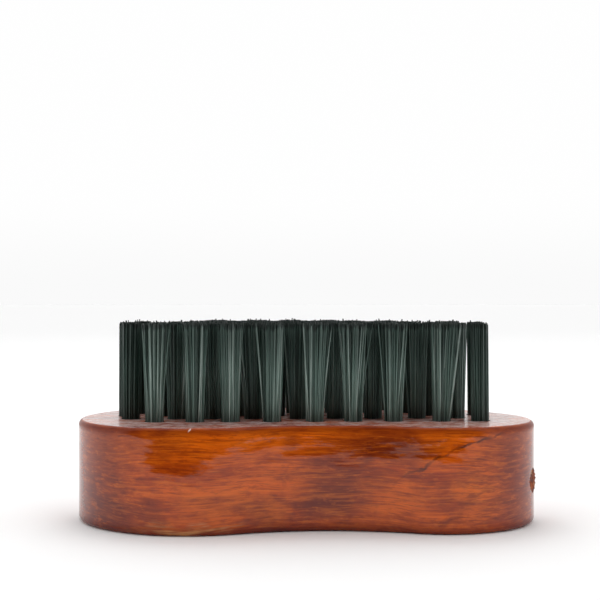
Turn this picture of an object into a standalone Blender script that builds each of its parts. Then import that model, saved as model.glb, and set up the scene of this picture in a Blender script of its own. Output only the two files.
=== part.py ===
"""Palm-held beard brush: a bean-shaped wooden block, bristles up, lying on its back.

Frame: metres, +Z up. +X runs along the block towards its narrow lobe, -Y is the side with
the finger notch, and the origin is under the middle of the block, on its flat back.
"""

import math

import bmesh
import bpy

# Block
BLOCK_LENGTH = 0.100
BLOCK_WIDTH = 0.060
BLOCK_THICKNESS = 0.022
ROUND_LOBE_RADIUS = 0.0257
NARROW_LOBE_RADIUS = 0.0203
NOTCH_DEPTH = 0.0052
EDGE_ROUNDING = 0.0011
EDGE_SEGMENTS = 3
OUTLINE_CHORD = 0.0026

# Drilled holes, in staggered rows that follow the block's length
HOLE_DIAMETER = 0.0041
HOLE_DEPTH = 0.0125
HOLE_SIDES = 12
TUFT_PITCH = 0.0088
ROW_PITCH = 0.0067
FRONT_ROW_SETBACK = 0.0155
PATTERN_SHIFT = 0.0025
FIELD_INSET = 0.008
# The holes are drilled by hand, so they wander along their rows. The last entry is for its row
# and every row behind it, which are drilled true.
DRILL_WANDER = (
    (0.0, -0.0001, -0.0013, -0.0011, -0.0007, -0.0012, -0.0012, 0.0004, 0.0),
    (-0.0012, 0.0001, -0.0009, -0.0008, 0.0004, -0.0002, -0.0007, 0.0002, 0.0001),
    (0.0018, 0.0004, 0.0, 0.0, 0.0, 0.0, 0.0, 0.0, 0.0, 0.0013),
    (0.0,),
)

# Tufts, each a bundle of bristles folded over a flat wire anchor
BRISTLE_LENGTH = 0.021
TUFT_TIP_DIAMETER = 0.0052
TUFT_SIDES = 8
FOLD_DIAMETER = 0.0022
FOLD_HEIGHT = 0.003
ANCHOR_HEIGHT = 0.0018
ANCHOR_THICKNESS = 0.0006

# Ornament engraved in the back and filled with enamel
RING_OUTER_RADIUS = 0.015
RING_INNER_RADIUS = 0.0125
LOZENGE_HALF_LENGTH = 0.009
LOZENGE_HALF_WIDTH = 0.006
ENGRAVING_DEPTH = 0.001
ENAMEL_THICKNESS = 0.0005
RING_SIDES = 40

# Fits
CLEARANCE = 0.0003
CUTTER_OVERRUN = 0.001
WELD_DISTANCE = 0.00001


def clear_scene():
    for obj in list(bpy.data.objects):
        bpy.data.objects.remove(obj, do_unlink=True)


def new_collection(name, parent):
    collection = bpy.data.collections.new(name)
    parent.children.link(collection)
    return collection


def make_material(name, colour, roughness, metallic=0.0, coat=0.0):
    material = bpy.data.materials.new(name)
    material.use_nodes = True
    shader = material.node_tree.nodes["Principled BSDF"]
    shader.inputs["Base Color"].default_value = (*colour, 1.0)
    shader.inputs["Roughness"].default_value = roughness
    shader.inputs["Metallic"].default_value = metallic
    shader.inputs["Coat Weight"].default_value = coat
    return material


def add_object(name, mesh, collection, material=None):
    obj = bpy.data.objects.new(name, mesh)
    collection.objects.link(obj)
    if material and not mesh.materials:
        mesh.materials.append(material)
    return obj


def make_cutter(obj):
    obj.hide_render = True
    obj.display_type = "WIRE"
    return obj


def shade_round(mesh):
    mesh.shade_smooth()
    mesh.set_sharp_from_angle(angle=math.radians(35))


def baked_mesh(obj, name):
    """The mesh that obj's modifiers or curve settings give, welded, as new mesh data."""
    graph = bpy.context.evaluated_depsgraph_get()
    mesh = bpy.data.meshes.new_from_object(obj.evaluated_get(graph))
    mesh.name = name
    work = bmesh.new()
    work.from_mesh(mesh)
    bmesh.ops.remove_doubles(work, verts=work.verts, dist=WELD_DISTANCE)
    work.to_mesh(mesh)
    work.free()
    return mesh


def lobe_circles():
    """Centre x, centre y and radius of the round and the narrow lobe, which share a front line."""
    front = -BLOCK_WIDTH / 2
    round_lobe = (-BLOCK_LENGTH / 2 + ROUND_LOBE_RADIUS, front + ROUND_LOBE_RADIUS, ROUND_LOBE_RADIUS)
    narrow_lobe = (BLOCK_LENGTH / 2 - NARROW_LOBE_RADIUS, front + NARROW_LOBE_RADIUS, NARROW_LOBE_RADIUS)
    return round_lobe, narrow_lobe


def bridging_circle(line_y, wraps):
    """The circle that touches both lobes and the level line at line_y.

    wraps is 1 for the back, which wraps round the lobes, and -1 for the notch, which lies
    between them. Each rise is how far the line stands off a lobe, so that the circle's
    radius is run**2 / (2 * rise) + rise / 2 + wraps * lobe radius from either lobe.
    """
    (x1, y1, r1), (x2, y2, r2) = lobe_circles()
    rise_1 = line_y - y1 - wraps * r1
    rise_2 = line_y - y2 - wraps * r2
    span = x2 - x1
    square = 1 / (2 * rise_1) - 1 / (2 * rise_2)
    linear = span / rise_2
    constant = (rise_1 - rise_2) / 2 + wraps * (r1 - r2) - span**2 / (2 * rise_2)
    run = -2 * constant / (linear + math.sqrt(linear**2 - 4 * square * constant))
    radius = run**2 / (2 * rise_1) + rise_1 / 2 + wraps * r1
    return x1 + run, line_y - radius, radius


def arc_points(circle, start, end):
    """Points along a circle from one angle up to, and without, the other."""
    x, y, radius = circle
    steps = math.ceil(abs(end - start) * radius / OUTLINE_CHORD)
    turns = (start + (end - start) * i / steps for i in range(steps))
    return [(x + radius * math.cos(turn), y + radius * math.sin(turn)) for turn in turns]


def direction(start, end):
    return math.atan2(end[1] - start[1], end[0] - start[0])


def block_outline():
    """The bean, anticlockwise: back, round lobe, finger notch, narrow lobe."""
    round_lobe, narrow_lobe = lobe_circles()
    back = bridging_circle(BLOCK_WIDTH / 2, 1)
    notch = bridging_circle(-BLOCK_WIDTH / 2 + NOTCH_DEPTH, -1)
    back_start = direction(back, narrow_lobe)
    back_end = direction(back, round_lobe)
    round_end = direction(round_lobe, notch) + 2 * math.pi
    narrow_start = direction(narrow_lobe, notch)
    outline = arc_points(back, back_start, back_end)
    outline += arc_points(round_lobe, back_end, round_end)
    outline += arc_points(notch, round_end - math.pi, narrow_start + math.pi)
    outline += arc_points(narrow_lobe, narrow_start, back_start)
    return outline


def edge_distance(x, y, outline):
    """How far inside the outline a point lies; negative outside."""
    nearest = math.inf
    inside = False
    for (ax, ay), (bx, by) in zip(outline, outline[1:] + outline[:1]):
        length = math.hypot(bx - ax, by - ay)
        along = ((x - ax) * (bx - ax) + (y - ay) * (by - ay)) / length**2
        along = min(max(along, 0.0), 1.0)
        gap = math.hypot(x - ax - along * (bx - ax), y - ay - along * (by - ay))
        nearest = min(nearest, gap)
        if (ay > y) != (by > y) and x < ax + (y - ay) * (bx - ax) / (by - ay):
            inside = not inside
    return nearest if inside else -nearest


def tuft_rows():
    """One list of hole centres for each row, front row first, each from left to right.

    The regular station decides whether a hole is far enough inside the edge to be drilled.
    """
    outline = block_outline()
    row_count = int((BLOCK_WIDTH - FRONT_ROW_SETBACK - FIELD_INSET) / ROW_PITCH) + 1
    reach = int(BLOCK_LENGTH / TUFT_PITCH)
    rows = []
    for row in range(row_count):
        y = -BLOCK_WIDTH / 2 + FRONT_ROW_SETBACK + row * ROW_PITCH
        middle = PATTERN_SHIFT - (row % 2) * TUFT_PITCH / 2
        wander = DRILL_WANDER[min(row, len(DRILL_WANDER) - 1)]
        stations = []
        for step in range(-reach, reach + 1):
            x = middle + step * TUFT_PITCH
            if edge_distance(x, y, outline) >= FIELD_INSET:
                stations.append((x + wander[(step + len(wander) // 2) % len(wander)], y))
        rows.append(stations)
    return [stations for stations in rows if stations]


def prism_from_outline(name, points, low, high, collection):
    """A flat outline, extruded from low to high, as a mesh object with one face per cap."""
    curve = bpy.data.curves.new(name, "CURVE")
    curve.dimensions = "2D"
    curve.fill_mode = "BOTH"
    curve.extrude = (high - low) / 2
    spline = curve.splines.new("POLY")
    spline.points.add(len(points) - 1)
    for point, (x, y) in zip(spline.points, points):
        point.co = (x, y, 0.0, 1.0)
    spline.use_cyclic_u = True
    guide = add_object(name + "_outline", curve, collection)
    guide.location.z = (low + high) / 2
    mesh = baked_mesh(guide, name)
    work = bmesh.new()
    work.from_mesh(mesh)
    bmesh.ops.dissolve_limit(work, angle_limit=math.radians(0.1), verts=work.verts, edges=work.edges)
    bmesh.ops.recalc_face_normals(work, faces=work.faces)
    work.to_mesh(mesh)
    work.free()
    obj = add_object(name, mesh, collection)
    obj.location = guide.location
    bpy.data.objects.remove(guide, do_unlink=True)
    return obj


def turned_object(name, profile, sides, collection):
    """A profile in the XZ plane, listed down its outer side, turned about Z by a Screw."""
    mesh = bpy.data.meshes.new(name)
    edges = [(i, i + 1) for i in range(len(profile) - 1)]
    if profile[0][0] > 0:
        edges.append((len(profile) - 1, 0))
    mesh.from_pydata([(x, 0.0, z) for x, z in profile], edges, [])
    obj = add_object(name, mesh, collection)
    screw = obj.modifiers.new("turn", "SCREW")
    screw.axis = "Z"
    screw.angle = 2 * math.pi
    screw.steps = sides
    screw.render_steps = sides
    screw.use_merge_vertices = True
    screw.merge_threshold = WELD_DISTANCE
    return obj


def cylinder_mesh(name, radius, low, high, sides):
    mesh = bpy.data.meshes.new(name)
    work = bmesh.new()
    bmesh.ops.create_cone(
        work, cap_ends=True, segments=sides, radius1=radius, radius2=radius, depth=high - low
    )
    bmesh.ops.translate(work, verts=work.verts, vec=(0.0, 0.0, (low + high) / 2))
    work.to_mesh(mesh)
    work.free()
    return mesh


def ring_object(name, growth, low, high, collection):
    """The ornament's ring, grown on every side by growth."""
    inner = RING_INNER_RADIUS - growth
    outer = RING_OUTER_RADIUS + growth
    profile = [(inner, high), (outer, high), (outer, low), (inner, low)]
    return turned_object(name, profile, RING_SIDES, collection)


def lozenge_object(name, growth, low, high, collection):
    """The ornament's lozenge, whose four sides all move out by growth."""
    slant = math.hypot(LOZENGE_HALF_LENGTH, LOZENGE_HALF_WIDTH)
    scale = 1 + growth * slant / (LOZENGE_HALF_LENGTH * LOZENGE_HALF_WIDTH)
    length = LOZENGE_HALF_LENGTH * scale
    width = LOZENGE_HALF_WIDTH * scale
    points = [(width, 0.0), (0.0, length), (-width, 0.0), (0.0, -length)]
    return prism_from_outline(name, points, low, high, collection)


def add_drills(collection):
    """One cutter for each tuft hole, reaching out of the block's top."""
    drill = cylinder_mesh("drill", HOLE_DIAMETER / 2, -HOLE_DEPTH, CUTTER_OVERRUN, HOLE_SIDES)
    for row in tuft_rows():
        for x, y in row:
            cutter = make_cutter(add_object("drill", drill, collection))
            cutter.location = (x, y, BLOCK_THICKNESS)


def add_engraving_cutters(collection):
    for shape in (ring_object, lozenge_object):
        cutter = shape("engraving", CLEARANCE, -CUTTER_OVERRUN, ENGRAVING_DEPTH, collection)
        make_cutter(cutter)


def add_block(collection, cutters, material):
    block = prism_from_outline("wooden_block", block_outline(), 0.0, BLOCK_THICKNESS, collection)
    block.data.materials.append(material)
    rounding = block.modifiers.new("rounded_rims", "BEVEL")
    rounding.width = EDGE_ROUNDING
    rounding.segments = EDGE_SEGMENTS
    rounding.limit_method = "ANGLE"
    rounding.angle_limit = math.radians(60)
    cut = block.modifiers.new("holes_and_engraving", "BOOLEAN")
    cut.operation = "DIFFERENCE"
    cut.operand_type = "COLLECTION"
    cut.collection = cutters
    shade_round(block.data)
    return block


def tuft_mesh(collection, material):
    """A tuft with its anchor, from the foot of its hole to the trimmed tips; origin at the hole's mouth."""
    body = HOLE_DIAMETER / 2 - CLEARANCE
    foot = CLEARANCE - HOLE_DEPTH
    fold_top = foot + FOLD_HEIGHT
    tip = TUFT_TIP_DIAMETER / 2
    fold = FOLD_DIAMETER / 2
    profile = [
        (0.0, BRISTLE_LENGTH),
        (tip, BRISTLE_LENGTH),
        (body, 0.0),
        (body, fold_top + (body - fold)),
        (fold, fold_top),
        (fold, foot),
        (0.0, foot),
    ]
    bundle = turned_object("tuft_bundle", profile, TUFT_SIDES, collection)

    anchor_mesh = bpy.data.meshes.new("anchor")
    work = bmesh.new()
    bmesh.ops.create_cube(work, size=1.0)
    bmesh.ops.scale(work, verts=work.verts, vec=(2 * body, ANCHOR_THICKNESS, ANCHOR_HEIGHT))
    anchor_z = foot + FOLD_HEIGHT / 2
    bmesh.ops.translate(work, verts=work.verts, vec=(0.0, 0.0, anchor_z))
    work.to_mesh(anchor_mesh)
    work.free()
    anchor = add_object("anchor", anchor_mesh, collection)

    join = bundle.modifiers.new("anchor", "BOOLEAN")
    join.operation = "UNION"
    join.object = anchor
    mesh = baked_mesh(bundle, "tuft")
    mesh.materials.clear()
    mesh.materials.append(material)
    shade_round(mesh)
    bpy.data.objects.remove(bundle, do_unlink=True)
    bpy.data.objects.remove(anchor, do_unlink=True)
    return mesh


def add_tufts(collection, parent, material):
    mesh = tuft_mesh(collection, material)
    for row_number, row in enumerate(tuft_rows(), start=1):
        for number, (x, y) in enumerate(row, start=1):
            tuft = add_object(f"tuft_row{row_number}_{number:02d}", mesh, collection)
            tuft.location = (x, y, BLOCK_THICKNESS)
            tuft.parent = parent


def add_enamel(collection, parent, material):
    """The enamel lies in the engraving, set back from the surface and clear of its walls."""
    high = ENGRAVING_DEPTH - CLEARANCE
    low = high - ENAMEL_THICKNESS
    for name, shape in (("emblem_ring", ring_object), ("emblem_lozenge", lozenge_object)):
        enamel = shape(name, 0.0, low, high, collection)
        enamel.data.materials.append(material)
        enamel.parent = parent


def main():
    clear_scene()
    scene_root = bpy.context.scene.collection
    brush = new_collection("beard_brush", scene_root)
    cutters = new_collection("cutters", scene_root)
    wood = make_material("lacquered_wood", (0.36, 0.075, 0.012), 0.22, coat=0.6)
    bristle = make_material("bristle", (0.018, 0.026, 0.023), 0.5)
    enamel = make_material("black_enamel", (0.008, 0.008, 0.009), 0.25)

    assembly = bpy.data.objects.new("beard_brush_assembly", None)
    brush.objects.link(assembly)
    add_drills(cutters)
    add_engraving_cutters(cutters)
    block = add_block(brush, cutters, wood)
    block.parent = assembly
    add_tufts(brush, assembly, bristle)
    add_enamel(brush, assembly, enamel)


main()
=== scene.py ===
"""Looks of a palm-held beard brush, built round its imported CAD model.

Frame: metres, +Z up, +X towards the narrow lobe, -Y the finger-notch side.
"""

import math
import random

import bpy
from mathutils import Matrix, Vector, noise


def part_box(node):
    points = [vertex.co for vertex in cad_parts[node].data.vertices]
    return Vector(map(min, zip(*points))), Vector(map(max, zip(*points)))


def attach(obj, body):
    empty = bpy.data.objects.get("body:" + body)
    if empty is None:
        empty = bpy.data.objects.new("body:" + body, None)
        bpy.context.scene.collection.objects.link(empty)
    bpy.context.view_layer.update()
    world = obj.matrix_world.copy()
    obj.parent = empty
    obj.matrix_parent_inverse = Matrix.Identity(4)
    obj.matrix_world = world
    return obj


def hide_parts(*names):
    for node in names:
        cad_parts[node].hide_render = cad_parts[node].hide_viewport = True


SEED = 20
MM = 0.001

# The block's shape, as the CAD model has it; its overall sizes come from its box
ROUND_LOBE_RADIUS = 25.7 * MM
NARROW_LOBE_RADIUS = 20.3 * MM
NOTCH_DEPTH = 5.2 * MM
RIM_RADIUS = 1.1 * MM
RIM_VARIES = 0.22
RIM_STEPS = 7
WALL_STEPS = 16
OUTLINE_CHORD = 0.6 * MM
CAP_MARGIN = 0.5 * MM
HAND_WOBBLE = 0.05 * MM

# Places on the front wall that hand sanding left leaning: x, z, half width, half height, and how
# much further in the wall lies above the place than below it, all in mm
SANDED = (
    (-28.5, 14.5, 6.5, 7.0, 0.26),
    (14.0, 15.0, 7.0, 6.0, 0.09),
    (-6.0, 18.0, 7.0, 5.0, -0.04),
    (25.0, 18.0, 5.0, 5.0, -0.07),
    (34.0, 18.0, 4.0, 5.0, -0.09),
)

# Places on the front wall, each x, z, half width and half height in mm, then a share where given
DARK_PATCHES = (
    (15.0, 17.5, 12.0, 4.5, 0.80),
    (5.0, 8.0, 8.0, 9.5, 0.72),
    (5.0, 5.5, 5.0, 4.0, 0.35),
    (14.0, 11.0, 3.0, 2.0, 0.45),
    (-3.5, 18.5, 3.5, 2.0, 0.50),
    (41.0, 16.5, 4.0, 5.0, 0.50),
    (-31.0, 18.0, 5.0, 3.0, 0.45),
    (24.0, 19.0, 5.0, 3.0, 0.50),
    (-33.0, 5.0, 4.0, 4.0, 0.35),
    (-37.0, 20.0, 4.0, 3.5, 0.45),
    (-26.0, 18.5, 2.5, 1.5, 0.35),
    (36.5, 18.5, 2.5, 2.0, 0.45),
    (27.0, 8.7, 3.0, 1.5, 0.35),
    (27.0, 2.5, 4.0, 1.5, 0.35),
    (8.5, 4.6, 3.5, 1.6, 0.40),
    (-42.0, 4.0, 9.0, 5.0, 0.45),
    (17.0, 1.5, 10.0, 2.5, 0.30),
)
PALE_PATCHES = (
    (-27.0, 21.0, 6.0, 2.5, 0.50),
    (-9.0, 20.5, 8.0, 3.0, 0.50),
    (5.0, 21.5, 6.0, 1.8, 0.45),
    (-19.0, 6.5, 9.0, 4.0, 0.40),
    (31.0, 20.5, 6.0, 2.5, 0.35),
    (35.0, 9.0, 7.0, 7.0, 0.35),
    (19.0, 7.0, 6.0, 3.0, 0.25),
    (-8.5, 4.5, 5.5, 3.0, 0.45),
)
CURLY_PLACE = (36.0, 9.0, 7.5, 9.0)
WORN_PLACE = (-25.0, 1.9, 11.0, 1.3)
# Two painted glints on the top rim: x, z, half width and half height in mm
RIM_GLINTS = ((-15.9, 21.6, 0.50, 0.16), (-23.7, 21.3, 0.22, 0.30))

# A slanting check in the wood: x and z of its start, its slope, how strongly it bows off the
# straight line and the x where it comes back to it, and how it wavers and fades out at its ends
CHECK_START = (14.4 * MM, 7.1 * MM)
CHECK_SLOPE = 0.69
CHECK_BOW = 14.0
CHECK_CROSSING = 28.0 * MM
CHECK_WAVER = 0.8 * MM
CHECK_EDGES = (0.50 * MM, 0.06 * MM)
CHECK_FADES_IN = (12.0 * MM, 27.0 * MM)
CHECK_FADES_OUT = (42.5 * MM, 38.0 * MM)
CHECK_SHARE = 0.74

# The torn patch on the end of the narrow lobe, with its turn from +X in degrees
SCAR_TURN = -20
SCAR_HEIGHT = 9.3 * MM
SCAR_HALF_HEIGHT = 2.8 * MM
SCAR_HALF_WIDTH = 3.0 * MM
SCAR_STEPS = 40
SCAR_SUNK = 0.12 * MM
SCAR_ROOT = 0.45 * MM

# Holes, engraving and enamel
HOLE_RADIUS = 2.05 * MM
HOLE_DEPTH = 12.5 * MM
HOLE_SIDES = 28
MOUTH_CHAMFER = 0.18 * MM
RING_OUTER = 15.0 * MM
RING_INNER = 12.5 * MM
LOZENGE_HALF_LENGTH = 9.0 * MM
LOZENGE_HALF_WIDTH = 6.0 * MM
ENGRAVING_DEPTH = 1.0 * MM
CLEARANCE = 0.3 * MM
ENAMEL_SOFTENING = 0.12 * MM
RING_SIDES = 144
RING_CUTTER_SIDES = 96
CUTTER_OVERRUN = 1 * MM

# Bristles; the tufts at the two ends flare less, lean in a little and are darker
FIBRES_PER_TUFT = 150
FIBRE_RADIUS = 0.13 * MM
FIBRE_SIDES = 4
TUFT_BASE_RADIUS = 1.88 * MM
TUFT_TIP_RADIUS = 2.6 * MM
END_TUFTS_FROM = 34 * MM
END_TUFT_LEAN = 0.25 * MM
END_TUFT_FLARE = 1.04
END_TUFT_TONE = 0.40
GOLDEN_ANGLE = 2.39996323

# Each fibre's path: close to the tuft's middle at the fold, nearly at its full distance by the
# second point, then straight up to the mouth, and points at these shares of its free length
FOLD_SHARE = 0.45
FOLD_RISE = 0.3 * MM
STRAIGHT_SHARE = 0.97
STRAIGHT_RISE = 3.2 * MM
FREE_SHARES = (0.22, 0.5, 0.76, 1.0)

# How tufts and single bristles vary; lengths in mm
TUFT_LEAN_ALONG = 0.42
TUFT_LEAN_ACROSS = 0.30
FLARE_RANGE = (0.88, 1.08)
FOOT_JITTER = 0.04
TIP_SPREAD = 0.17
TIP_RISE = 0.12
TIP_UNEVENNESS = 0.30
STRAY_FROM = 0.62
STRAY_CHANCE = 0.075
STRAY_REACH = (0.5, 1.7)
STRAY_JITTER = 0.3
PALE_CHANCE = 0.06
SHORT_CHANCE = 0.05
SHORT_RANGE = (0.5, 2.0)
LONG_CHANCE = 0.05
LONG_RANGE = (0.1, 0.45)
BOW_RANGE = (0.9, 1.35)

# Tones, from 0 for dark to 1 for pale: middle and spread, limits, then of stray and pale fibres, whose pale
# tones are painted highlights
TONES = (0.44, 0.18)
TONE_LIMITS = (0.05, 0.78)
STRAY_HIGHLIGHT_TONES = (0.62, 0.92)
PALE_HIGHLIGHT_TONES = (0.7, 0.95)

# Studio: white all round but for a dark part behind the camera, where the table ends too. It is
# wider in what gloss mirrors. Each side of it goes from dark to lit between two angles, which are
# in degrees from -Y towards +X.
SOFT_LIGHT = 1.2
DARK_ROOM = ((-31, -42), (22, 32))
MIRRORED_DARK_ROOM = ((-60, -78), (38, 62))
BACKDROP = (0.955, 0.995)
BACKDROP_RISE = 0.07
OVERHEAD_PLACE = (-0.05, 0.42, 0.60)
OVERHEAD_SIZE = 0.5
OVERHEAD_POWER = 1.15
FLOOR_WHITE = 0.965
FLOOR_REACH = 4
FLOOR_HEIGHT = -0.10 * MM
TABLE_WHITE = 0.88
TABLE_REACH = 1.2
TABLE_HEIGHT = -0.05 * MM
TABLE_EDGE = -156 * MM
STAGE_ROUGHNESS = 0.9

# Camera
CAMERA_PLACE = (-10.6 * MM, -303.3 * MM, 50.5 * MM)
CAMERA_YAW = 0.032
CAMERA_TILT = -0.0082
CAMERA_LENS = 80.4
CAMERA_CLIP = (0.01, 20)
SENSOR_WIDTH = 36.0

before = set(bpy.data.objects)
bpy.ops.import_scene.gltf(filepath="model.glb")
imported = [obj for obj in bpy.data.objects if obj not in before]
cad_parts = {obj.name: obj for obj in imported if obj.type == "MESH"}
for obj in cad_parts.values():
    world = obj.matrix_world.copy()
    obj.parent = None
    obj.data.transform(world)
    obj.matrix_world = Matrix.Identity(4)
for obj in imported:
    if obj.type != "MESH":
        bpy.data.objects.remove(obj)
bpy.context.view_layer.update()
scene = bpy.context.scene
block_low, block_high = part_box("wooden_block")
BLOCK_TOP = block_high.z
TIP_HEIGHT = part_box("tuft_row1_01")[1].z
TUFT_NODES = sorted(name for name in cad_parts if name.startswith("tuft_row"))


def tuft_centre(name):
    low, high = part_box(name)
    return (low.x + high.x) / 2, (low.y + high.y) / 2


# Mesh helpers


def link(obj):
    scene.collection.objects.link(obj)
    return obj


def mesh_object(name, verts, faces, material=None):
    mesh = bpy.data.meshes.new(name)
    mesh.from_pydata(verts, [], faces)
    mesh.update()
    if material:
        mesh.materials.append(material)
    return link(bpy.data.objects.new(name, mesh))


def loft(rings, verts, faces):
    """Closed rings of equal length, listed upwards and anticlockwise, joined and capped."""
    start = len(verts)
    count = len(rings[0])
    for ring in rings:
        verts.extend(ring)
    for level in range(len(rings) - 1):
        low = start + level * count
        for i in range(count):
            j = (i + 1) % count
            faces.append((low + i, low + j, low + count + j, low + count + i))
    faces.append(tuple(start + i for i in reversed(range(count))))
    top = start + (len(rings) - 1) * count
    faces.append(tuple(top + i for i in range(count)))


def circle(x, y, z, radius, sides, phase=0.0):
    turns = (phase + 2 * math.pi * i / sides for i in range(sides))
    return [(x + radius * math.cos(t), y + radius * math.sin(t), z) for t in turns]


def smooth(mesh, degrees):
    mesh.shade_smooth()
    mesh.set_sharp_from_angle(angle=math.radians(degrees))


# The block


def lobes():
    front = block_low.y
    round_lobe = (block_low.x + ROUND_LOBE_RADIUS, front + ROUND_LOBE_RADIUS, ROUND_LOBE_RADIUS)
    narrow_lobe = (block_high.x - NARROW_LOBE_RADIUS, front + NARROW_LOBE_RADIUS, NARROW_LOBE_RADIUS)
    return round_lobe, narrow_lobe


def bridging_circle(line_y, wraps):
    """The circle that touches both lobes and the level line at line_y, as in the CAD model."""
    (x1, y1, r1), (x2, y2, r2) = lobes()
    rise_1 = line_y - y1 - wraps * r1
    rise_2 = line_y - y2 - wraps * r2
    span = x2 - x1
    square = 1 / (2 * rise_1) - 1 / (2 * rise_2)
    linear = span / rise_2
    constant = (rise_1 - rise_2) / 2 + wraps * (r1 - r2) - span**2 / (2 * rise_2)
    run = -2 * constant / (linear + math.sqrt(linear**2 - 4 * square * constant))
    radius = run**2 / (2 * rise_1) + rise_1 / 2 + wraps * r1
    return x1 + run, line_y - radius, radius


def arc(ring, start, end, outward):
    """Points on a circle with the block's outward normal at each: (x, y, normal x, normal y)."""
    x, y, radius = ring
    steps = math.ceil(abs(end - start) * radius / OUTLINE_CHORD)
    points = []
    for i in range(steps):
        turn = start + (end - start) * i / steps
        c, s = math.cos(turn), math.sin(turn)
        points.append((x + radius * c, y + radius * s, outward * c, outward * s))
    return points


def heading(start, end):
    return math.atan2(end[1] - start[1], end[0] - start[0])


def outline():
    round_lobe, narrow_lobe = lobes()
    back = bridging_circle(block_high.y, 1)
    notch = bridging_circle(block_low.y + NOTCH_DEPTH, -1)
    back_start = heading(back, narrow_lobe)
    back_end = heading(back, round_lobe)
    round_end = heading(round_lobe, notch) + 2 * math.pi
    narrow_start = heading(narrow_lobe, notch)
    points = arc(back, back_start, back_end, 1)
    points += arc(round_lobe, back_end, round_end, 1)
    points += arc(notch, round_end - math.pi, narrow_start + math.pi, -1)
    points += arc(narrow_lobe, narrow_start, back_start, 1)
    return points


def rim_profiles():
    """The lower and the upper rim's rounding, as (set in, rise) in shares of the rim radius."""
    quarter = [math.pi / 2 * i / RIM_STEPS for i in range(RIM_STEPS + 1)]
    low = [(1 - math.sin(a), 1 - math.cos(a)) for a in quarter]
    high = [(1 - math.cos(a), math.sin(a)) for a in quarter]
    return low, high


def sanded(x, y, z):
    """How far in the wall lies at a point, from the places that were sanded off square."""
    if y > 0:
        return 0.0
    total = 0.0
    for cx, cz, wide, tall, lean in SANDED:
        u, v = (x / MM - cx) / wide, (z / MM - cz) / tall
        total += lean * MM * math.tanh(1.5 * v) / 2 * math.exp(-u * u)
    return total


def block_rings(points):
    """The block's outline at each height, from the middle of its back to that of its top."""
    low, high = rim_profiles()
    walls = [(i + 1) / (WALL_STEPS + 1) for i in range(WALL_STEPS)]
    rings = []

    def ring(inset_share, z_of, margin=0.0):
        made = []
        for x, y, nx, ny in points:
            rim = RIM_RADIUS * (1 + RIM_VARIES * noise.noise(Vector((x * 90, y * 90, 7.0))))
            z = z_of(rim)
            wobble = HAND_WOBBLE * noise.noise(Vector((x * 55, y * 55, z * 70)))
            inset = inset_share * rim + margin - wobble + sanded(x, y, z)
            made.append((x - nx * inset, y - ny * inset, z))
        return made

    rings.append(ring(1.0, lambda rim: 0.0, CAP_MARGIN))
    for inset, rise in low:
        rings.append(ring(inset, lambda rim, rise=rise: rise * rim))
    for share in walls:
        rings.append(ring(0.0, lambda rim, s=share: rim + s * (BLOCK_TOP - 2 * rim)))
    for inset, rise in high:
        rings.append(ring(inset, lambda rim, rise=rise: BLOCK_TOP - rim + rise * rim))
    rings.append(ring(1.0, lambda rim: BLOCK_TOP, CAP_MARGIN))
    return rings


def lozenge_ring(z, growth):
    """The lozenge at one height, with its sides moved outwards by growth."""
    slant = math.hypot(LOZENGE_HALF_LENGTH, LOZENGE_HALF_WIDTH)
    scale = 1 + growth * slant / (LOZENGE_HALF_LENGTH * LOZENGE_HALF_WIDTH)
    a, b = LOZENGE_HALF_WIDTH * scale, LOZENGE_HALF_LENGTH * scale
    return [(a, 0.0, z), (0.0, b, z), (-a, 0.0, z), (0.0, -b, z)]


def annulus(levels, sides, verts, faces):
    """A turned ring from (inner, outer, z) levels, listed upwards."""
    start = len(verts)
    for inner, outer, z in levels:
        verts.extend(circle(0, 0, z, outer, sides))
        verts.extend(circle(0, 0, z, inner, sides))
    for level in range(len(levels) - 1):
        a = start + level * 2 * sides
        b = a + 2 * sides
        for i in range(sides):
            j = (i + 1) % sides
            faces.append((a + i, a + j, b + j, b + i))
            faces.append((a + sides + j, a + sides + i, b + sides + i, b + sides + j))
    top = start + (len(levels) - 1) * 2 * sides
    for i in range(sides):
        j = (i + 1) % sides
        faces.append((start + j, start + i, start + sides + i, start + sides + j))
        faces.append((top + i, top + j, top + sides + j, top + sides + i))


def cutters():
    """One mesh of everything that is cut from the block: tuft holes and engraving."""
    verts, faces = [], []
    over = CUTTER_OVERRUN
    wide = HOLE_RADIUS + MOUTH_CHAMFER
    for name in TUFT_NODES:
        x, y = tuft_centre(name)
        rings = [
            circle(x, y, BLOCK_TOP - HOLE_DEPTH, HOLE_RADIUS, HOLE_SIDES),
            circle(x, y, BLOCK_TOP - MOUTH_CHAMFER, HOLE_RADIUS, HOLE_SIDES),
            circle(x, y, BLOCK_TOP, wide, HOLE_SIDES),
            circle(x, y, BLOCK_TOP + over, wide + over, HOLE_SIDES),
        ]
        loft(rings, verts, faces)
    inner, outer = RING_INNER - CLEARANCE, RING_OUTER + CLEARANCE
    levels = [(inner, outer, -over), (inner, outer, ENGRAVING_DEPTH)]
    annulus(levels, RING_CUTTER_SIDES, verts, faces)
    rings = [lozenge_ring(-over, CLEARANCE), lozenge_ring(ENGRAVING_DEPTH, CLEARANCE)]
    loft(rings, verts, faces)
    return mesh_object("cutters", verts, faces)


def make_block(material, top_material):
    verts, faces = [], []
    loft(block_rings(outline()), verts, faces)
    block = mesh_object("block_shaped_wood", verts, faces, material)
    cutter = cutters()
    cut = block.modifiers.new("holes", "BOOLEAN")
    cut.operation = "DIFFERENCE"
    cut.solver = "EXACT"
    cut.object = cutter
    graph = bpy.context.evaluated_depsgraph_get()
    shaped = bpy.data.meshes.new_from_object(block.evaluated_get(graph))
    block.modifiers.clear()
    block.data = shaped
    bpy.data.objects.remove(cutter, do_unlink=True)
    shaped.materials.append(top_material)
    for face in shaped.polygons:
        level = face.normal.z > 0.99
        if level and face.center.z > BLOCK_TOP - 0.02 * MM:
            face.material_index = 1
    smooth(shaped, 32)
    return block


# The tufts


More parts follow.
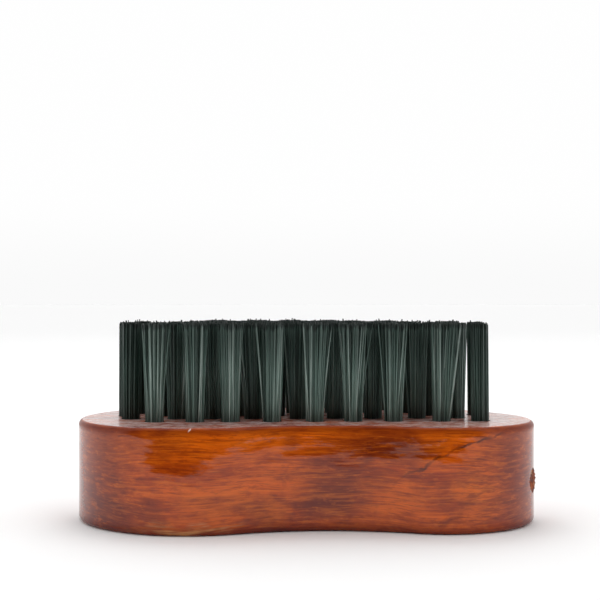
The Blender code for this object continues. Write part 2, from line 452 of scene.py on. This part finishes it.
def tuft_fibres(rng, centre, foot, tip_z):
    """Each fibre as (path points, tone), from its fold in the hole to its trimmed tip."""
    cx, cy = centre
    lean_x = rng.uniform(-TUFT_LEAN_ALONG, TUFT_LEAN_ALONG) * MM
    lean_y = rng.uniform(-TUFT_LEAN_ACROSS, TUFT_LEAN_ACROSS) * MM
    spin = rng.uniform(0, 2 * math.pi)
    flare = TUFT_TIP_RADIUS / TUFT_BASE_RADIUS * rng.uniform(*FLARE_RANGE)
    upright = abs(cx) > END_TUFTS_FROM
    if upright:
        lean_x = -math.copysign(END_TUFT_LEAN, cx)
        flare = END_TUFT_FLARE
    fibres = []
    for i in range(FIBRES_PER_TUFT):
        reach = TUFT_BASE_RADIUS * math.sqrt((i + 0.5) / FIBRES_PER_TUFT)
        turn = spin + i * GOLDEN_ANGLE
        bx = reach * math.cos(turn) + rng.uniform(-FOOT_JITTER, FOOT_JITTER) * MM
        by = reach * math.sin(turn) + rng.uniform(-FOOT_JITTER, FOOT_JITTER) * MM
        tx = bx * flare + lean_x + rng.gauss(0, TIP_SPREAD) * MM
        ty = by * flare + lean_y + rng.gauss(0, TIP_SPREAD) * MM
        tone = min(max(rng.gauss(*TONES), TONE_LIMITS[0]), TONE_LIMITS[1])
        # Stray fibres and a few others get pale tones: painted highlights of fibres catching the light
        outer = reach > STRAY_FROM * TUFT_BASE_RADIUS
        if outer and rng.random() < STRAY_CHANCE and not upright:
            stray = rng.uniform(*STRAY_REACH) * MM
            tx += math.cos(turn) * stray + rng.uniform(-STRAY_JITTER, STRAY_JITTER) * MM
            ty += math.sin(turn) * stray + rng.uniform(-STRAY_JITTER, STRAY_JITTER) * MM
            tone = rng.uniform(*STRAY_HIGHLIGHT_TONES)
        elif rng.random() < PALE_CHANCE:
            tone = rng.uniform(*PALE_HIGHLIGHT_TONES)
        bow = rng.uniform(*BOW_RANGE)
        top = tip_z + (TIP_RISE - abs(rng.gauss(0, TIP_UNEVENNESS))) * MM
        if rng.random() < SHORT_CHANCE:
            top -= rng.uniform(*SHORT_RANGE) * MM
        elif rng.random() < LONG_CHANCE:
            top += rng.uniform(*LONG_RANGE) * MM
        if upright:
            tone *= END_TUFT_TONE
        path = [(cx + bx * FOLD_SHARE, cy + by * FOLD_SHARE, foot + FOLD_RISE)]
        path.append((cx + bx * STRAIGHT_SHARE, cy + by * STRAIGHT_SHARE, foot + STRAIGHT_RISE))
        path.append((cx + bx, cy + by, BLOCK_TOP))
        for share in FREE_SHARES:
            eased = share**bow
            z = BLOCK_TOP + share * (top - BLOCK_TOP)
            path.append((cx + bx + (tx - bx) * eased, cy + by + (ty - by) * eased, z))
        fibres.append((path, tone))
    return fibres


def make_tuft(name, index, material):
    rng = random.Random(SEED * 1000 + index)
    low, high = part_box(name)
    verts, faces, tones = [], [], []
    for path, tone in tuft_fibres(rng, tuft_centre(name), low.z, high.z):
        phase = rng.uniform(0, math.pi)
        loft([circle(x, y, z, FIBRE_RADIUS, FIBRE_SIDES, phase) for x, y, z in path], verts, faces)
        tones.extend([tone] * (len(verts) - len(tones)))
    tuft = mesh_object("bristles_" + name.removeprefix("tuft_"), verts, faces, material)
    attribute = tuft.data.attributes.new("tone", "FLOAT", "POINT")
    attribute.data.foreach_set("value", tones)
    smooth(tuft.data, 60)
    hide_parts(name)
    return tuft


# Node helpers


def srgb(red, green, blue):
    def linear(value):
        value /= 255
        return value / 12.92 if value <= 0.04045 else ((value + 0.055) / 1.055) ** 2.4

    return (linear(red), linear(green), linear(blue), 1.0)


class Tree:
    """Short ways to add nodes to one node tree."""

    def __init__(self, owner):
        owner.use_nodes = True
        self.tree = owner.node_tree
        self.tree.nodes.clear()

    def add(self, kind, inputs=None, **settings):
        made = self.tree.nodes.new("ShaderNode" + kind)
        for key, value in settings.items():
            setattr(made, key, value)
        for key, value in (inputs or {}).items():
            self.feed(made.inputs[key], value)
        return made

    def feed(self, socket, value):
        if isinstance(value, bpy.types.NodeSocket):
            self.tree.links.new(value, socket)
        else:
            socket.default_value = value

    def math(self, operation, a, b=0.0, clamp=False):
        made = self.add("Math", {0: a, 1: b}, operation=operation, use_clamp=clamp)
        return made.outputs[0]

    def span(self, value, low, high, to_low=0.0, to_high=1.0):
        """The value, eased from low..high to to_low..to_high and held beyond them."""
        inputs = {"Value": value, "From Min": low, "From Max": high, "To Min": to_low, "To Max": to_high}
        return self.add("MapRange", inputs, interpolation_type="SMOOTHSTEP").outputs[0]

    def times(self, a, b):
        return self.math("MULTIPLY", a, b)

    def parts(self, vector):
        return self.add("SeparateXYZ", {0: vector}).outputs

    def mix(self, factor, a, b):
        return self.add("Mix", {0: factor, 6: a, 7: b}, data_type="RGBA").outputs[2]

    def either(self, factor, a, b):
        return self.add("Mix", {0: factor, 2: a, 3: b}, data_type="FLOAT").outputs[0]

    def stain(self, colour, field, low, high, share, tint):
        """The colour, tinted by up to share where the field goes from low to high."""
        return self.mix(self.span(field, low, high, 0.0, share), colour, srgb(*tint))

    def stretched(self, vector, scale):
        return self.add("VectorMath", {0: vector, 1: scale}, operation="MULTIPLY").outputs[0]

    def grain(self, vector, scale, detail=3.0, rough=0.55):
        """Noise with its own scale, per metre, along each axis."""
        inputs = {"Vector": self.stretched(vector, scale), "Scale": 1.0, "Detail": detail, "Roughness": rough}
        return self.add("TexNoise", inputs).outputs["Fac"]

    def bump(self, height, strength, distance, normal=None):
        inputs = {"Height": height, "Strength": strength, "Distance": distance}
        if normal:
            inputs["Normal"] = normal
        return self.add("Bump", inputs).outputs["Normal"]

    def finish(self, shader, kind="OutputMaterial"):
        self.add(kind, {"Surface": shader})


# Materials


def new_material(name):
    material = bpy.data.materials.new(name)
    return material, Tree(material)


def patch(t, point, x, z, wide, tall):
    """1 in the middle of an oval place on the walls, fading to 0 at its edge; sizes in mm."""
    away = t.add("VectorMath", {0: point, 1: (x * MM, 0, z * MM)}, operation="SUBTRACT").outputs[0]
    scaled = t.stretched(away, (1 / (wide * MM), 0, 1 / (tall * MM)))
    distance = t.add("VectorMath", {0: scaled}, operation="LENGTH").outputs["Value"]
    return t.span(distance, 1.25, 0.25)


def wandering(t, point, scale, reach):
    """The point, moved about by up to half of reach in each direction."""
    drift = t.add("TexNoise", {"Vector": point, "Scale": scale, "Detail": 2.0}).outputs["Color"]
    centred = t.add("VectorMath", {0: drift, 1: (0.5, 0.5, 0.5)}, operation="SUBTRACT").outputs[0]
    return t.add("VectorMath", {0: point, 1: t.stretched(centred, reach)}, operation="ADD").outputs[0]


def wood_material(name, coat_roughness, dusting, dust_and_sheen_amount):
    """Stained wood under lacquer, with dust and a painted grey sheen of reflected light on its level faces,
    unless their amount is zero.
    """
    material, t = new_material(name)
    place = t.add("TexCoord")
    point = place.outputs["Object"]
    bent = wandering(t, point, 34.0, (0.004, 0.0045, 0.0045))
    loose = wandering(t, point, 130.0, (0.010, 0.010, 0.007))

    bands = t.grain(bent, (18, 60, 170), 2.0)
    face_bands = t.grain(bent, (30, 150, 60), 3.0)
    layers = t.grain(bent, (40, 90, 430), 4.0, 0.62)
    level_threads = t.grain(bent, (110, 260, 2300), 3.0, 0.6)
    streaks = t.grain(bent, (42, 520, 520), 4.0, 0.6)
    threads = t.grain(bent, (90, 1900, 1900), 3.0, 0.6)
    pores = t.grain(bent, (200, 600, 4300), 2.0, 0.5)
    face_pores = t.grain(bent, (150, 4600, 600), 2.0, 0.5)
    mottle = t.grain(loose, (60, 60, 95), 4.0, 0.62)
    flecks = t.grain(bent, (360, 360, 1150), 4.0, 0.65)

    x, y, z = t.parts(point)
    normal = t.parts(place.outputs["Normal"])
    normal_z = t.math("ABSOLUTE", normal["Z"])
    endways = t.math("ABSOLUTE", normal["X"])
    long_grain = t.span(endways, 0.30, 0.85, 1.0, 0.35)
    flat = t.span(normal_z, 0.80, 0.985)

    # Walls: stain in streaks, with patches where the wood took more or less of it
    wall = t.mix(t.span(layers, 0.32, 0.68), srgb(142, 46, 7), srgb(202, 84, 12))
    wall = t.stain(wall, bands, 0.44, 0.62, 0.50, (222, 100, 14))
    wall = t.stain(wall, mottle, 0.50, 0.32, 0.76, (98, 27, 12))
    wall = t.stain(wall, t.parts(loose)["Z"], 12 * MM, 20 * MM, 0.60, (236, 108, 7))
    for spots, tint in ((PALE_PATCHES, (224, 108, 16)), (DARK_PATCHES, (96, 26, 12))):
        for *spot, share in spots:
            wall = t.mix(t.times(patch(t, loose, *spot), share), wall, srgb(*tint))
    curl = t.grain(wandering(t, point, 260.0, (0.002, 0.002, 0.002)), (170, 170, 1250), 2.0)
    curly = t.times(patch(t, loose, *CURLY_PLACE), t.span(curl, 0.45, 0.55))
    wall = t.mix(t.times(curly, 0.50), wall, srgb(96, 30, 10))
    wall = t.stain(wall, endways, 0.30, 0.72, 0.72, (100, 27, 12))

    # Flat faces: bright orange with fine dark streaks
    face = t.mix(t.span(streaks, 0.34, 0.66), srgb(150, 40, 3), srgb(222, 98, 6))
    face = t.stain(face, face_bands, 0.55, 0.38, 0.55, (128, 32, 5))
    face = t.stain(face, mottle, 0.46, 0.30, 0.45, (104, 24, 6))
    face = t.stain(face, threads, 0.50, 0.66, 0.60, (92, 18, 5))
    face = t.stain(face, threads, 0.46, 0.34, 0.35, (238, 128, 24))
    face = t.stain(face, face_pores, 0.58, 0.68, 0.60, (60, 12, 5))

    # Fine figure of the walls, fainter where the wood is cut across its grain
    dark_thread = t.times(t.span(level_threads, 0.50, 0.66, 0.0, 0.42), long_grain)
    pale_thread = t.times(t.span(level_threads, 0.48, 0.34, 0.0, 0.30), long_grain)
    wall = t.stain(wall, flecks, 0.51, 0.66, 0.34, (104, 30, 10))
    wall = t.stain(wall, flecks, 0.47, 0.34, 0.26, (230, 112, 20))
    wall = t.mix(dark_thread, wall, srgb(92, 24, 8))
    wall = t.mix(pale_thread, wall, srgb(230, 116, 22))
    wall = t.stain(wall, pores, 0.60, 0.72, 0.42, (58, 15, 7))
    colour = t.mix(flat, wall, face)

    # A slanting check in the wood, across the front of the narrow lobe
    front = t.span(y, -10 * MM, -18 * MM)
    along = t.math("SUBTRACT", x, CHECK_START[0])
    bow = t.times(along, t.math("SUBTRACT", x, CHECK_CROSSING))
    rise = t.math("SUBTRACT", t.times(along, CHECK_SLOPE), t.times(bow, CHECK_BOW))
    line = t.math("SUBTRACT", t.math("SUBTRACT", z, CHECK_START[1]), rise)
    waver = t.grain(point, (230, 230, 230), 4.0, 0.5)
    line = t.math("ADD", line, t.span(waver, 0.2, 0.8, -CHECK_WAVER, CHECK_WAVER))
    close = t.span(t.math("ABSOLUTE", line), *CHECK_EDGES)
    patchy = t.span(t.grain(point, (260, 260, 260), 2.0), 0.34, 0.58, 0.25, 1.0)
    ends = t.times(t.span(x, *CHECK_FADES_IN), t.span(x, *CHECK_FADES_OUT))
    check = t.times(t.times(close, ends), t.times(front, patchy))
    colour = t.mix(t.times(check, CHECK_SHARE), colour, srgb(48, 13, 7))

    # Painted shade darkens both rounded rims, where the lacquer is also thin, most of all on the upper one
    middle = BLOCK_TOP / 2
    off_middle = t.math("ABSOLUTE", t.math("SUBTRACT", z, middle))
    rim = t.span(off_middle, middle - 2.2 * MM, middle - 0.5 * MM)
    rim = t.times(rim, t.span(normal_z, 0.995, 0.90))
    # Painted shade along both rounded rims
    colour = t.mix(t.times(rim, 0.62), colour, srgb(88, 18, 9))
    thinning = t.span(z, middle - 1 * MM, middle + 1 * MM, 0.25, 0.72)
    coat = t.math("SUBTRACT", 1.0, t.times(rim, thinning))

    # The lacquer is worn along the bottom, and two painted glints sit as pale spots on the top rim
    worn = t.times(patch(t, loose, *WORN_PLACE), t.span(level_threads, 0.38, 0.58))
    worn = t.times(worn, front)
    colour = t.mix(t.times(worn, 0.75), colour, srgb(206, 142, 84))
    # Painted glints: pale spots that stand for light caught on the top rim
    for glint in RIM_GLINTS:
        glinting = t.times(patch(t, loose, *glint), front)
        colour = t.mix(t.times(glinting, 0.80), colour, srgb(240, 222, 212))

    # Dust with a painted grey sheen of reflected light on the level faces, and the slight waves of
    # hand-brushed lacquer
    peel = t.add("TexNoise", {"Vector": point, "Scale": 620.0, "Detail": 2.0}).outputs["Fac"]
    waves = t.add("TexNoise", {"Vector": t.stretched(point, (60, 60, 150)), "Scale": 1.0}).outputs["Fac"]
    dust = t.add("TexNoise", {"Vector": point, "Scale": 2600.0, "Detail": 2.0}).outputs["Fac"]
    dusty = t.times(t.span(dust, 0.52, 0.68), flat)
    dust_and_sheen = 0.0
    if dust_and_sheen_amount:
        settled = t.grain(point, (380, 380, 380), 5.0, 0.75)
        dust_and_sheen = t.times(t.span(settled, 0.30, 0.70), t.times(flat, dust_and_sheen_amount))
        # Pale grey on the level faces: dust, and a painted reflection of grazing light
        colour = t.mix(t.times(dust_and_sheen, 0.36), colour, srgb(196, 186, 181))
    film = t.bump(waves, 0.35, 0.0004)
    film = t.bump(peel, 0.12, 0.00010, film)
    film = t.bump(layers, 0.12, 0.00010, film)
    film = t.bump(dusty, dusting, 0.00010, film)
    body = t.bump(level_threads, 0.35, 0.0001)
    body = t.bump(t.times(check, -1.0), 0.6, 0.0002, body)

    inputs = {
        "Base Color": colour,
        "Roughness": t.span(mottle, 0.25, 0.75, 0.40, 0.55),
        "Specular IOR Level": 0.02,
        "Normal": body,
        "Coat Weight": coat,
        "Coat Roughness": coat_roughness,
        "Coat IOR": 1.5,
        "Coat Normal": film,
        "Sheen Weight": dust_and_sheen,
        "Sheen Roughness": 0.45,
        "Sheen Tint": srgb(226, 220, 218),
    }
    t.finish(t.add("BsdfPrincipled", inputs).outputs[0])
    return material


def bristle_material():
    """Dark synthetic bristles, each of its own tone, the palest painted as highlights, and darker towards its
    foot and its tip with painted shade.
    """
    material, t = new_material("bristle")
    point = t.add("TexCoord").outputs["Object"]
    tone = t.add("Attribute", attribute_name="tone").outputs["Fac"]
    along = t.grain(point, (1500, 1500, 130), 2.0)
    tone = t.math("ADD", tone, t.span(along, 0.2, 0.8, -0.10, 0.10), clamp=True)
    colour = t.mix(t.span(tone, 0.1, 0.62), srgb(50, 72, 64), srgb(108, 134, 125))
    # The pale end of the ramp is painted highlight
    colour = t.mix(t.span(tone, 0.62, 1.0), colour, srgb(166, 186, 178))
    height = t.parts(point)["Z"]
    # Painted shade, growing over the upper part towards the tips and briefly towards the foot
    shaded = t.span(height, TIP_HEIGHT - 12.0 * MM, TIP_HEIGHT - 2.0 * MM, 0.0, 0.52)
    shaded = t.math("MAXIMUM", shaded, t.span(height, BLOCK_TOP + 3.5 * MM, BLOCK_TOP, 0.0, 0.45))
    colour = t.mix(shaded, colour, srgb(30, 42, 38))
    # Painted shade on the last millimetre of each fibre, with a ragged edge, partly the darker cut ends
    ragged = t.grain(point, (900, 900, 200), 2.0)
    ragged_height = t.math("ADD", height, t.span(ragged, 0.3, 0.7, -0.6 * MM, 0.6 * MM))
    tip_shade = t.span(ragged_height, TIP_HEIGHT - 1.5 * MM, TIP_HEIGHT - 0.5 * MM, 0.0, 0.70)
    colour = t.mix(tip_shade, colour, srgb(12, 15, 14))
    fleck = t.grain(point, (2600, 2600, 900), 2.0)
    inputs = {
        "Base Color": colour,
        "Roughness": t.span(fleck, 0.3, 0.7, 0.34, 0.50),
        "IOR": 1.5,
        "Normal": t.bump(fleck, 0.15, 0.00003),
    }
    t.finish(t.add("BsdfPrincipled", inputs).outputs[0])
    return material


def enamel_material():
    material, t = new_material("black_enamel")
    point = t.add("TexCoord").outputs["Object"]
    grit = t.add("TexVoronoi", {"Vector": point, "Scale": 2200.0})
    shade = t.add("SeparateColor", {0: grit.outputs["Color"]}).outputs[0]
    colour = t.mix(t.span(shade, 0.82, 0.98), srgb(8, 8, 9), srgb(128, 126, 122))
    lump = t.grain(point, (900, 900, 900), 3.0)
    normal = t.bump(shade, 1.0, 0.00022, t.bump(lump, 0.8, 0.0004))
    inputs = {"Base Color": colour, "Roughness": t.span(shade, 0.1, 0.9, 0.18, 0.42), "Normal": normal}
    t.finish(t.add("BsdfPrincipled", inputs).outputs[0])
    return material


def torn_material():
    material, t = new_material("torn_wood")
    point = t.add("TexCoord").outputs["Object"]
    lumps = t.grain(point, (1100, 1100, 700), 4.0, 0.7)
    bits = t.grain(point, (2400, 2400, 1700), 3.0, 0.6)
    colour = t.mix(t.span(lumps, 0.38, 0.60), srgb(78, 24, 12), srgb(158, 76, 34))
    colour = t.mix(t.span(bits, 0.60, 0.70), colour, srgb(214, 172, 112))
    normal = t.bump(bits, 0.9, 0.0002)
    inputs = {"Base Color": colour, "Roughness": t.span(lumps, 0.3, 0.7, 0.45, 0.8), "Normal": normal}
    t.finish(t.add("BsdfPrincipled", inputs).outputs[0])
    return material


# Small pieces


def make_ring(material):
    low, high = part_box("emblem_ring")
    verts, faces = [], []
    soft = ENAMEL_SOFTENING
    levels = [
        (RING_INNER + soft, RING_OUTER - soft, low.z),
        (RING_INNER, RING_OUTER, low.z + soft),
        (RING_INNER, RING_OUTER, high.z),
    ]
    annulus(levels, RING_SIDES, verts, faces)
    ring = mesh_object("enamel_ring", verts, faces, material)
    smooth(ring.data, 60)
    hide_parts("emblem_ring")
    return ring


def make_lozenge(material):
    low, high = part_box("emblem_lozenge")
    verts, faces = [], []
    soft = ENAMEL_SOFTENING
    rings = [lozenge_ring(low.z, -soft), lozenge_ring(low.z + soft, 0.0), lozenge_ring(high.z, 0.0)]
    loft(rings, verts, faces)
    lozenge = mesh_object("enamel_lozenge", verts, faces, material)
    smooth(lozenge.data, 30)
    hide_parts("emblem_lozenge")
    return lozenge


def make_scar(material):
    """A torn patch of wood and lacquer on the end of the narrow lobe, as a rough closed lump."""
    _, narrow = lobes()
    x0, y0, radius = narrow
    turn = math.radians(SCAR_TURN)
    rings = []
    for level in range(SCAR_STEPS + 1):
        v = -1 + 2 * level / SCAR_STEPS
        z = SCAR_HEIGHT + v * SCAR_HALF_HEIGHT
        wide = SCAR_HALF_WIDTH * math.sqrt(max(1 - v * v, 0.0004))
        wide *= 1 + 0.25 * noise.noise(Vector((z * 900, 3.0, 1.0)))
        outer, inner = [], []
        for column in range(SCAR_STEPS + 1):
            u = -1 + 2 * column / SCAR_STEPS
            a = turn + u * wide / radius
            dome = math.sqrt(max(1 - u * u, 0.0)) * math.sqrt(max(1 - v * v, 0.0))
            rough = noise.noise(Vector((u * 3.1, v * 5.3, 2.0))) * 0.5 + 0.5
            rough += 0.8 * noise.noise(Vector((u * 9.0, v * 14.0, 5.0)))
            rise = dome * (0.16 + 0.46 * rough) * MM
            outer.append((a, radius - SCAR_SUNK + rise))
            inner.append((a, radius - SCAR_ROOT))
        turned = outer + inner[::-1]
        rings.append([(x0 + r * math.cos(a), y0 + r * math.sin(a), z) for a, r in turned])
    verts, faces = [], []
    loft(rings, verts, faces)
    scar = mesh_object("torn_patch", verts, faces, material)
    scar.data.shade_smooth()
    return scar


# Stage


def stage_material(name, white):
    material, t = new_material(name)
    inputs = {"Base Color": (white, white, white, 1.0), "Roughness": STAGE_ROUGHNESS}
    t.finish(t.add("BsdfPrincipled", inputs).outputs[0])
    return material


def plane(name, low, high, z, material):
    corners = [(low[0], low[1], z), (high[0], low[1], z), (high[0], high[1], z), (low[0], high[1], z)]
    made = mesh_object(name, corners, [(0, 1, 2, 3)], material)
    return made


def area_light(name, place, aim, size, power):
    data = bpy.data.lights.new(name, "AREA")
    data.shape = "SQUARE"
    data.size = size
    data.energy = power
    lamp = link(bpy.data.objects.new(name, data))
    lamp.location = place
    lamp.rotation_euler = (Vector(aim) - Vector(place)).to_track_quat("-Z", "Y").to_euler()


def lit_from(t, azimuth, dark_room):
    """1 in the white part of the room and 0 in the dark one, by direction."""
    left, right = (t.span(azimuth, math.radians(a), math.radians(b)) for a, b in dark_room)
    return t.math("MAXIMUM", left, right)


def make_stage():
    white = stage_material("floor_white", FLOOR_WHITE)
    table_white = stage_material("table_white", TABLE_WHITE)
    floor = plane("floor", (-FLOOR_REACH, -FLOOR_REACH), (FLOOR_REACH, FLOOR_REACH), FLOOR_HEIGHT, white)
    floor.visible_glossy = False
    near, far = (-TABLE_REACH, TABLE_EDGE), (TABLE_REACH, TABLE_REACH)
    table = plane("table_seen_in_gloss", near, far, TABLE_HEIGHT, table_white)
    table.visible_camera = False
    table.visible_diffuse = False
    table.visible_shadow = False

    world = bpy.data.worlds.new("studio")
    scene.world = world
    t = Tree(world)
    ray = t.add("TexCoord").outputs["Generated"]
    x, y, z = t.parts(ray)
    azimuth = t.math("ARCTAN2", x, t.times(y, -1.0))
    rays = t.add("LightPath").outputs
    soft = lit_from(t, azimuth, DARK_ROOM)
    mirrored = lit_from(t, azimuth, MIRRORED_DARK_ROOM)
    lit = t.times(t.either(rays["Is Glossy Ray"], soft, mirrored), SOFT_LIGHT)
    backdrop = t.span(z, 0.0, BACKDROP_RISE, *BACKDROP)
    strength = t.either(rays["Is Camera Ray"], lit, backdrop)
    t.finish(t.add("Background", {"Color": (1, 1, 1, 1), "Strength": strength}).outputs[0], "OutputWorld")

    area_light("overhead", OVERHEAD_PLACE, (0, 0, 0), OVERHEAD_SIZE, OVERHEAD_POWER)


def make_camera():
    data = bpy.data.cameras.new("camera")
    data.lens = CAMERA_LENS
    data.sensor_width = SENSOR_WIDTH
    data.clip_start, data.clip_end = CAMERA_CLIP
    camera = link(bpy.data.objects.new("camera", data))
    camera.location = CAMERA_PLACE
    camera.rotation_euler = (math.pi / 2 + CAMERA_TILT, 0.0, -CAMERA_YAW)
    scene.camera = camera


def main():
    scene.view_settings.view_transform = "Standard"
    wood = wood_material("lacquered_wood", coat_roughness=0.05, dusting=0.3, dust_and_sheen_amount=0.0)
    drilled_face = wood_material(
        "lacquered_wood_drilled_face", coat_roughness=0.22, dusting=0.8, dust_and_sheen_amount=0.85
    )
    bristle = bristle_material()
    enamel, torn = enamel_material(), torn_material()

    block = make_block(wood, drilled_face)
    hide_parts("wooden_block")
    pieces = [block, make_ring(enamel), make_lozenge(enamel), make_scar(torn)]
    for index, name in enumerate(TUFT_NODES):
        pieces.append(make_tuft(name, index, bristle))
    for piece in pieces:
        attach(piece, "root")

    make_stage()
    make_camera()


main()
